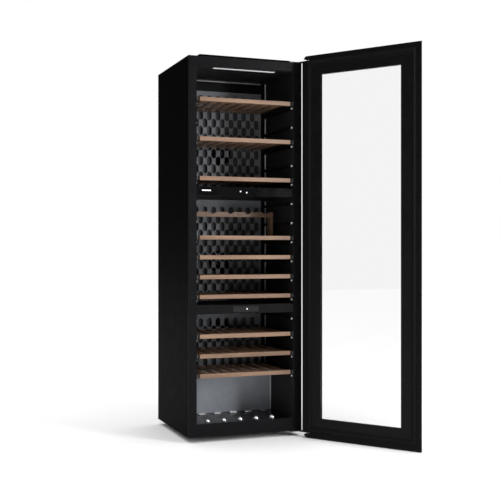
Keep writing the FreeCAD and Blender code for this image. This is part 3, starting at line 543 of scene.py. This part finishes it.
def close_sheet(bm, axis, level):
    """Carry a sheet's border to a flat level along one axis and close it there."""
    border = [edge for edge in bm.edges if edge.is_boundary]
    skirt = bmesh.ops.extrude_edge_only(bm, edges=border)["geom"]
    for vert in (item for item in skirt if isinstance(item, bmesh.types.BMVert)):
        vert.co[axis] = level
    bmesh.ops.holes_fill(bm, edges=[edge for edge in bm.edges if edge.is_boundary], sides=0)


# ---------------------------------------------------------------- door helper
HINGE = JOINTS["door_hinge"]
OPEN_ANGLE = -math.radians(HINGE["range_deg"][0])
HINGE_POINT = Vector(HINGE["pos_m"]) - MIDDLE


def swing_open(bm):
    """Turn geometry built for the closed door to the door's rest position."""
    pivot = Matrix.Translation(HINGE_POINT)
    matrix = pivot @ Matrix.Rotation(OPEN_ANGLE, 4, "Z") @ pivot.inverted()
    bmesh.ops.transform(bm, matrix=matrix, verts=bm.verts)


# ---------------------------------------------------------------- pieces
def door_gasket():
    """Bellows seal: a magnet bead on a folded foot, mitred at the corners."""
    bm = bmesh.new()
    x = (SEAL_INSET - HALF_DOOR, HALF_DOOR - SEAL_INSET)
    z = (DOOR_Z[0] + SEAL_INSET, DOOR_Z[1] - SEAL_INSET)
    profile = [(0, 0), (0, 1.6), (1.2, 2.4), (2.6, 1.2), (4.2, 1.2), (5.4, 2.8), (6.6, 4.3), (8.4, 4.6),
               (15.0, 4.6), (16.8, 4.2), (18.0, 2.8), (19.4, 1.2), (21.0, 1.2), (22.4, 2.4), (24.2, 2.2),
               (26.0, 1.2), (26.0, 0)]
    frame_profile(bm, x, z, DOOR_INNER_Y, [(inset * MM, depth * MM) for inset, depth in profile])
    swing_open(bm)
    seal = piece_from(bm, "door_seal_bellows", "rubber", "door")
    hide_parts("door_gasket")


def door_edge_strip():
    """Satin strips let into the groove round the door's inner face, broken at the hinge pockets."""
    bm = bmesh.new()
    outer = HALF_DOOR - STRIP_INSET
    inner = outer - STRIP_WIDTH
    bottom, top = DOOR_Z[0] + STRIP_INSET, DOOR_Z[1] - STRIP_INSET
    pocket_x = HALF_DOOR - HINGE_POCKET_X
    strips = [(-outer, -inner, bottom, top),
              (inner, outer, DOOR_Z[0] + HINGE_POCKET_Z, DOOR_Z[1] - HINGE_POCKET_Z),
              (-inner, pocket_x, bottom, bottom + STRIP_WIDTH),
              (-inner, pocket_x, top - STRIP_WIDTH, top)]
    back, face = DOOR_INNER_Y - STRIP_THICKNESS, DOOR_INNER_Y - STRIP_SINK
    for left, right, low, high in strips:
        rounded_box(bm, (left, back, low), (right, face, high), 0.4 * MM)
    swing_open(bm)
    strip = piece_from(bm, "door_edge_strip", "face", "door")


def zone_spans():
    """The (bottom, top) heights of the lower, middle and upper zones' back walls."""
    low, high = node_box("air_panels")
    first, second = (corner.z for corner in node_box("zone_dividers"))
    return (low.z, first), (first + DIVIDER_THICKNESS, second - DIVIDER_THICKNESS), (second, high.z)


def air_panel_holes():
    """(x, z) centres of the oval holes in the three air panels."""
    centres = []
    for (bottom, top), band, first_count in zip(zone_spans(), PLAIN_BANDS, FIRST_ROW_HOLES):
        first = top - band - HOLE_HEIGHT / 2
        rows = int((first - bottom - HOLE_HEIGHT / 2 - HOLE_MARGIN) / HOLE_ROW_PITCH) + 1
        for row in range(rows):
            count = first_count if row % 2 == 0 else HOLES_IN_TWO_ROWS - first_count
            for column in range(count):
                x = (column - (count - 1) / 2) * HOLE_PITCH + HOLE_SHIFT_X
                centres.append((x, first - HOLE_ROW_PITCH * row))
    return centres


def air_panel_rims():
    """A rolled lip round each oval hole of the three air panels."""
    face_y = node_box("air_panels")[0].y
    reach = (HOLE_HEIGHT - HOLE_WIDTH) / 2
    radius = HOLE_WIDTH / 2 + RIM_OFFSET
    bm = bmesh.new()
    for x, z in air_panel_holes():
        points = []
        for step in range(RIM_POINTS):
            angle = 2 * math.pi * (step + 0.5) / RIM_POINTS
            lift = math.copysign(reach, math.sin(angle))
            points.append(Vector((x + radius * math.cos(angle), face_y, z + lift + radius * math.sin(angle))))
        add_loop_tube(bm, points, RIM_RADIUS, 6)
    rims = piece_from(bm, "air_panel_hole_rims", "air_panel", "cabinet", True)


def screw(bm, centre, axis, radius):
    """A low domed screw head with a round hollow in its middle."""
    profile = [(radius, 0), (radius, 0.5 * MM), (radius * 0.92, 0.9 * MM), (radius * 0.62, 1.15 * MM),
               (radius * 0.5, 1.15 * MM), (radius * 0.45, 0.4 * MM)]
    add_lathe(bm, centre, axis, profile, 18)


def shelf_caps():
    """Grey covers with a rivet over the metal ends of each shelf's front bar."""
    rivet = [(2.4 * MM, -0.5 * MM), (2.4 * MM, 0.15 * MM), (1.6 * MM, 0.3 * MM)]
    for number in range(1, SHELVES + 1):
        low, high = node_box("shelf_%02d_runners" % number)
        wood_low, wood_high = node_box("shelf_%02d_wood" % number)
        bottom, top = wood_low.z - 0.2 * MM, wood_high.z + 0.2 * MM
        bm = bmesh.new()
        for side in (-1, 1):
            left, right = sorted((side * (high.x - 0.1 * MM), side * (high.x - CAP_THICKNESS)))
            rounded_box(bm, (left, low.y - 0.3 * MM, bottom), (right, low.y + CAP_DEPTH, top), 0.9 * MM)
            place = (side * (high.x - 0.2 * MM), low.y + 8 * MM, (bottom + top) / 2)
            add_lathe(bm, place, (side, 0, 0), rivet, 16)
        cap = piece_from(bm, "shelf_%02d_end_caps" % number, "cap", "shelf_%02d" % number)


def hinge_details():
    """Domed screws in the hinge plates and a domed cap on each pin."""
    low, high = node_box("hinge_brackets")
    cap = [(6.2 * MM, 0), (6.2 * MM, 0.9 * MM), (5.0 * MM, 1.6 * MM), (2.5 * MM, 1.9 * MM)]
    bm = bmesh.new()
    for z, out in ((high.z - 2.0 * MM, 1), (low.z + 2.0 * MM, -1)):
        for inset in HINGE_SCREWS_X:
            for behind in HINGE_SCREWS_Y:
                screw(bm, (BODY_HALF - inset, FRONT_Y + behind, z), (0, 0, out), HINGE_SCREW_RADIUS)
        add_lathe(bm, (HINGE_POINT.x, HINGE_POINT.y, z), (0, 0, out), cap, 24)
    screws = piece_from(bm, "hinge_screws", "steel", "cabinet")


def feet_details():
    """Hexagon nuts and ribbed pads on the levelling feet."""
    low, high = node_box("levelling_feet")
    nut = [(9 * MM, 0), (10 * MM, 0.8 * MM), (10 * MM, 5 * MM), (9 * MM, 5.8 * MM)]
    rib = [(1.3 * MM, 0), (1.3 * MM, 4.5 * MM), (0.6 * MM, 5.4 * MM)]
    pads = bmesh.new()
    nuts = bmesh.new()
    for x in (low.x + FOOT_RADIUS, high.x - FOOT_RADIUS):
        for y in (low.y + FOOT_RADIUS, high.y - FOOT_RADIUS):
            add_lathe(nuts, (x, y, 14 * MM), (0, 0, 1), nut, 6)
            for index in range(FOOT_RIBS):
                angle = 2 * math.pi * index / FOOT_RIBS
                across, along = FOOT_RIB_REACH * math.cos(angle), FOOT_RIB_REACH * math.sin(angle)
                add_lathe(pads, (x + across, y + along, 1.0 * MM), (0, 0, 1), rib, 8)
    nut_piece = piece_from(nuts, "feet_nuts", "steel", "cabinet")
    rib_piece = piece_from(pads, "feet_ribs", "rubber", "cabinet")


def fascia_details():
    """A raised display window and four round touch marks on each divider fascia."""
    low, high = node_box("control_panels")
    ring = [(2.4 * MM, 0), (2.4 * MM, 0.25 * MM), (1.9 * MM, 0.3 * MM), (1.7 * MM, 0.1 * MM)]
    windows = bmesh.new()
    marks = bmesh.new()
    for bottom in (low.z, high.z - DIVIDER_THICKNESS):
        rounded_box(windows, (-WINDOW_HALF, low.y - 0.35 * MM, bottom + WINDOW_BOTTOM),
                    (WINDOW_HALF, low.y + 1 * MM, bottom + WINDOW_TOP), 0.3 * MM)
        height = bottom + (WINDOW_BOTTOM + WINDOW_TOP) / 2
        for x in TOUCH_MARKS_X:
            add_lathe(marks, (x, low.y + 0.05 * MM, height), (0, -1, 0), ring, 18)
    window = piece_from(windows, "display_windows", "window", "cabinet")
    mark = piece_from(marks, "touch_marks", "mark", "cabinet")


def ceiling_shadow_strip():
    """Dark strip along the top of the back wall that paints the ceiling header's shadow, with a satin line on
    its upper edge.
    """
    low, high = node_box("air_panels")
    bottom, top = high.z - SHADOW_STRIP_HEIGHT, high.z - SHADOW_STRIP_TOP_GAP
    strip = bmesh.new()
    # The strip's near-black is painted shade where the header's shadow falls on the back wall.
    rounded_box(strip, (low.x, low.y - 3.0 * MM, bottom), (high.x, low.y - 0.2 * MM, top), 0.8 * MM)
    shadow_piece = piece_from(strip, "rear_ceiling_shadow_strip", "rail", "cabinet")
    line = bmesh.new()
    start = (low.x + 2 * MM, low.y - 2.2 * MM, top + 1.4 * MM)
    add_bar(line, start, (1, 0, 0), high.x - low.x - 4 * MM, 1.7 * MM)
    edge = piece_from(line, "rear_ceiling_line", "bead", "cabinet", True)


def corner_beads():
    """Satin round beads down the back corners of each zone and the corners of the step."""
    face_y = node_box("air_panels")[0].y
    step_low, step_high = node_box("compressor_cover")
    spans = [(face_y, bottom, top) for bottom, top in zone_spans()]
    spans.append((step_low.y, step_low.z, step_high.z - 2 * MM))
    bm = bmesh.new()
    for x in (step_low.x, step_high.x):
        for y, bottom, top in spans:
            add_bar(bm, (x, y, bottom), (0, 0, 1), top - bottom, BEAD_RADIUS)
    beads = piece_from(bm, "corner_beads", "bead", "cabinet", True)


def rest_pad_faces():
    """Bright leaning slip faces on the flat rear rests of the floor tray."""
    tray_top = node_box("bottle_tray")[1].z
    front = node_box("bottle_rests")[1].y - PAD_DEPTH
    bm = bmesh.new()
    for index in range(RESTS):
        x = (index - (RESTS - 1) / 2) * REST_PITCH
        corners = rounded_box(bm, (x + PAD_LEFT, front - 0.6 * MM, tray_top + 0.4 * MM),
                              (x + PAD_RIGHT, front + 0.4 * MM, tray_top + PAD_HEIGHT), 0.4 * MM)
        for vert in corners:
            vert.co.y += PAD_LEAN * (vert.co.z - tray_top)
    faces = piece_from(bm, "rest_pad_faces", "stud", "cabinet")


def lens_ribs():
    """Fine prisms along the underside of the ceiling light's lens."""
    low, high = node_box("ceiling_light_lens")
    pitch = (high.x - low.x) / LENS_RIBS
    half = 0.34 * pitch
    bm = bmesh.new()
    for index in range(LENS_RIBS):
        x = low.x + pitch * (index + 0.5)
        rounded_box(bm, (x - half, low.y + 1 * MM, low.z - 0.45 * MM),
                    (x + half, high.y - 1 * MM, low.z + 0.5 * MM), 0.3 * MM, 1)
    ribs = piece_from(bm, "ceiling_lens_prisms", "lens", "cabinet")


def tray_channels():
    """Moulded tray that stands for the plain slab: five long hollows between rounded ridges."""
    low, high = node_box("bottle_tray")
    bm = bmesh.new()
    grid = []
    for row in range(TRAY_ROWS + 1):
        v = row / TRAY_ROWS
        line = []
        for column in range(TRAY_COLUMNS + 1):
            u = column / TRAY_COLUMNS
            x = low.x + (high.x - low.x) * u
            rim = min(1.0, min(u, 1 - u, v * 0.9, (1 - v) * 0.9) / 0.05)
            ridge = 0.5 + 0.5 * math.cos(2 * math.pi * x / REST_PITCH)
            depth = rim * (0.6 + 1.5 * ridge) * MM
            line.append(bm.verts.new((x, low.y + (high.y - low.y) * v, high.z - depth)))
        grid.append(line)
    grid_faces(bm, grid)
    close_sheet(bm, 2, low.z)
    tray = piece_from(bm, "moulded_tray", "gloss", "cabinet", True)
    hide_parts("bottle_tray")


def smooth_step(value):
    """Ease from 0 to 1 as the value goes from 0 to 1."""
    value = min(1.0, max(0.0, value))
    return value * value * (3 - 2 * value)


def rear_sheet():
    """Rear sheet with stiffening beads pressed inwards, standing for the plain one."""
    low, high = node_box("rear_panel")
    bead_x = high.x - REAR_BEAD_END
    bead_pitch = (high.z - low.z) / (REAR_BEADS + 1)
    bead_zs = [low.z + bead_pitch * (index + 1) for index in range(REAR_BEADS)]
    slope = [REAR_BEAD_HALF * index / REAR_BEAD_STEPS for index in range(REAR_BEAD_STEPS + 1)]
    right = [bead_x - step for step in reversed(slope)]
    xs = [low.x] + [-x for x in reversed(right)] + right + [high.x]
    zs = [low.z]
    for middle in bead_zs:
        zs += [middle - step for step in reversed(slope[1:])]
        zs += [middle + step for step in slope]
    zs.append(high.z)
    bm = bmesh.new()
    grid = []
    for z in zs:
        nearest = min(abs(z - middle) for middle in bead_zs)
        across = smooth_step(1 - nearest / REAR_BEAD_HALF)
        line = []
        for x in xs:
            along = smooth_step((bead_x - abs(x)) / REAR_BEAD_HALF)
            line.append(bm.verts.new((x, high.y - REAR_BEAD_DEPTH * across * along, z)))
        grid.append(line)
    grid_faces(bm, grid)
    close_sheet(bm, 1, low.y)
    sheet = piece_from(bm, "rear_sheet", "rear", "cabinet")
    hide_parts("rear_panel")


def rear_details():
    """Screws along the side edges of the rear sheet and round the machine cover."""
    low, high = node_box("rear_panel")
    cover_low, cover_high = node_box("machine_cover")
    pitch = (high.z - low.z - 2 * REAR_SCREW_END) / (REAR_SCREW_ROWS - 1)
    bm = bmesh.new()
    for index in range(REAR_SCREW_ROWS):
        z = low.z + REAR_SCREW_END + pitch * index
        for x in (low.x + REAR_SCREW_EDGE, high.x - REAR_SCREW_EDGE):
            screw(bm, (x, high.y - SCREW_SINK, z), (0, 1, 0), REAR_SCREW_RADIUS)
    for x in (cover_low.x + REAR_SCREW_EDGE, 0.0, cover_high.x - REAR_SCREW_EDGE):
        for z in (cover_low.z + COVER_SCREW_END, cover_high.z - COVER_SCREW_END):
            screw(bm, (x, cover_high.y - SCREW_SINK, z), (0, 1, 0), REAR_SCREW_RADIUS)
    screws = piece_from(bm, "rear_screws", "steel", "cabinet")


# ---------------------------------------------------------------- studio
def make_camera():
    """A level camera in front of the cooler's left side."""
    data = bpy.data.cameras.new("camera")
    data.lens = CAMERA_LENS
    data.sensor_width = CAMERA_SENSOR
    data.shift_y = CAMERA_SHIFT
    camera = bpy.data.objects.new("camera", data)
    camera.location = Vector(CAMERA_PLACE) + MIDDLE
    camera.rotation_euler = (math.radians(90), 0, math.radians(CAMERA_YAW))
    bpy.context.scene.collection.objects.link(camera)
    bpy.context.scene.camera = camera


def background(tree, strength):
    """A plain white background shader."""
    node = tree.nodes.new("ShaderNodeBackground")
    node.inputs["Color"].default_value = (1.0, 1.0, 1.0, 1.0)
    node.inputs["Strength"].default_value = strength
    return node.outputs["Background"]


def make_world():
    """Even white surroundings, dimmer as a light than as a backdrop."""
    world = bpy.data.worlds.new("studio")
    world.use_nodes = True
    tree = world.node_tree
    tree.nodes.clear()
    output = tree.nodes.new("ShaderNodeOutputWorld")
    path = tree.nodes.new("ShaderNodeLightPath")
    mix = tree.nodes.new("ShaderNodeMixShader")
    tree.links.new(path.outputs["Is Camera Ray"], mix.inputs["Fac"])
    tree.links.new(background(tree, ROOM_LIGHT), mix.inputs[1])
    tree.links.new(background(tree, 1.0), mix.inputs[2])
    tree.links.new(mix.outputs["Shader"], output.inputs["Surface"])
    bpy.context.scene.world = world


def area_light(name, place, target, size, power):
    """A rectangular lamp aimed at a target."""
    data = bpy.data.lights.new(name, "AREA")
    data.shape = "RECTANGLE"
    data.size = size[0]
    data.size_y = size[1]
    data.energy = power
    light = bpy.data.objects.new(name, data)
    light.location = Vector(place) + MIDDLE
    direction = Vector(target) - Vector(place)
    light.rotation_euler = direction.to_track_quat("-Z", "Y").to_euler()
    bpy.context.scene.collection.objects.link(light)


def make_lights():
    """Two soft lamps and a broad light from above."""
    for settings in AREA_LIGHTS:
        area_light(*settings)
    data = bpy.data.lights.new("sky", "SUN")
    data.energy = SKY_POWER
    data.angle = math.radians(SKY_ANGLE)
    sky = bpy.data.objects.new("sky", data)
    bpy.context.scene.collection.objects.link(sky)


def make_floor():
    """A wide pale floor."""
    mat, tree, shader, _ = new_material("pale_floor")
    cloud = noise(tree, coordinates(tree), 3.0)
    colour = ramp(tree, cloud, [(0.3, (0.90, 0.90, 0.90)), (0.7, (0.93, 0.93, 0.93))])
    tree.links.new(colour, shader.inputs["Base Color"])
    shader.inputs["Roughness"].default_value = 0.9
    shader.inputs["Specular IOR Level"].default_value = 0.1
    bm = bmesh.new()
    bmesh.ops.create_grid(bm, x_segments=1, y_segments=1, size=FLOOR_HALF)
    mesh = bpy.data.meshes.new("floor")
    bm.to_mesh(mesh)
    bm.free()
    floor = bpy.data.objects.new("floor", mesh)
    floor.data.materials.append(mat)
    bpy.context.scene.collection.objects.link(floor)


# ---------------------------------------------------------------- build
dress_cad_nodes()
bevel_cad(["control_panels", "display_stand", "ceiling_light_housing", "hinge_brackets"], 0.6 * MM)
door_gasket()
door_edge_strip()
air_panel_rims()
shelf_caps()
hinge_details()
feet_details()
fascia_details()
ceiling_shadow_strip()
corner_beads()
rest_pad_faces()
lens_ribs()
tray_channels()
rear_sheet()
rear_details()
make_camera()
make_world()
make_lights()
make_floor()
bpy.context.scene.view_settings.view_transform = "Standard"
